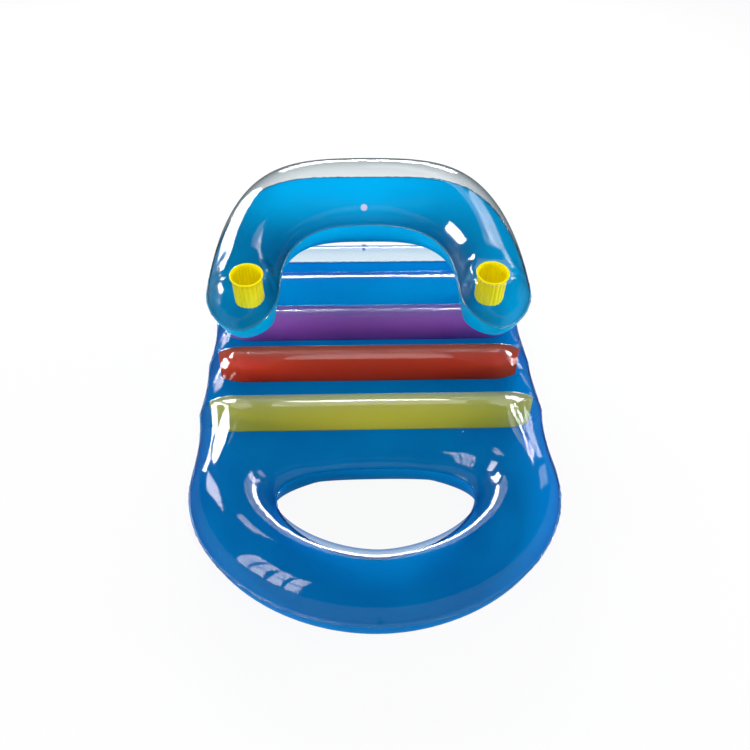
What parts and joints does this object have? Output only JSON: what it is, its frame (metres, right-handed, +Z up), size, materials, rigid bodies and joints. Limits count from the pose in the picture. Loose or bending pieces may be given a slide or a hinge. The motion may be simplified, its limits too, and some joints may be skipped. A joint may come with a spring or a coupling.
{
  "type": "inflatable pool chair",
  "caption": "Inflatable floating pool chair: ring with an open leg hole, cross-tube seat, and a tilted horseshoe backrest whose two arm ends hold drink cups.",
  "frame": {"origin": "on the floor, under the middle of the chair's bounding box", "axes": "+Z up, +Y from the leg hole to the backrest, +X across the seat to the sitter's left"},
  "size_m": [0.998, 1.554, 0.5435],
  "materials": {
    "clear_film": "clear glossy vinyl film, slightly blue",
    "blue_vinyl": "opaque glossy blue vinyl",
    "yellow_film": "glossy yellow-green vinyl",
    "red_film": "glossy red vinyl",
    "purple_film": "glossy purple vinyl",
    "blue_film": "glossy blue vinyl",
    "yellow_vinyl": "opaque yellow vinyl with soft upright pleats",
    "valve_vinyl": "soft moulded vinyl, pale lilac"
  },
  "bodies": {
    "chair": {"base_top_film": "clear_film", "base_bottom_sheet": "blue_vinyl", "baffle_yellow": "yellow_film", "baffle_red": "red_film", "baffle_purple": "purple_film", "baffle_blue": "blue_film", "backrest_top_film": "clear_film", "backrest_bottom_sheet": "blue_vinyl", "arm_patch_left": "blue_vinyl", "arm_patch_right": "blue_vinyl", "cup_rim_left": "clear_film", "cup_rim_right": "clear_film", "cup_sleeve_left": "yellow_vinyl", "cup_sleeve_right": "yellow_vinyl", "cup_floor_left": "yellow_vinyl", "cup_floor_right": "yellow_vinyl", "base_valve_flange": "valve_vinyl", "backrest_valve_flange": "valve_vinyl"},
    "base_stem": {"base_valve_stem": "valve_vinyl"},
    "base_plug": {"base_valve_plug": "valve_vinyl", "base_valve_strap": "valve_vinyl"},
    "base_flap": {"base_valve_flap": "valve_vinyl"},
    "backrest_stem": {"backrest_valve_stem": "valve_vinyl"},
    "backrest_plug": {"backrest_valve_plug": "valve_vinyl", "backrest_valve_strap": "valve_vinyl"},
    "backrest_flap": {"backrest_valve_flap": "valve_vinyl"}
  },
  "joints": [
    {"name": "base_stem_pull", "type": "slide", "parent": "chair", "child": "base_stem", "axis": [0, 0.5267, 0.85], "range_m": [0, 0.012]},
    {"name": "base_plug_pull", "type": "slide", "parent": "base_stem", "child": "base_plug", "axis": [0, 0.5267, 0.85], "range_m": [0, 0.012]},
    {"name": "base_flap_swing", "type": "hinge", "parent": "base_stem", "child": "base_flap", "pos_m": [-0.006, 0.68586, 0.18277], "axis": [1, 0, 0], "range_deg": [0, 60], "stiffness_Nm_per_rad": 0.0002},
    {"name": "backrest_stem_pull", "type": "slide", "parent": "chair", "child": "backrest_stem", "axis": [0, -0.965, 0.2622], "range_m": [0, 0.012]},
    {"name": "backrest_plug_pull", "type": "slide", "parent": "backrest_stem", "child": "backrest_plug", "axis": [0, -0.965, 0.2622], "range_m": [0, 0.012]},
    {"name": "backrest_flap_swing", "type": "hinge", "parent": "backrest_stem", "child": "backrest_flap", "pos_m": [-0.01, 0.54671, 0.43844], "axis": [1, 0, 0], "range_deg": [0, 60], "stiffness_Nm_per_rad": 0.0002}
  ]
}
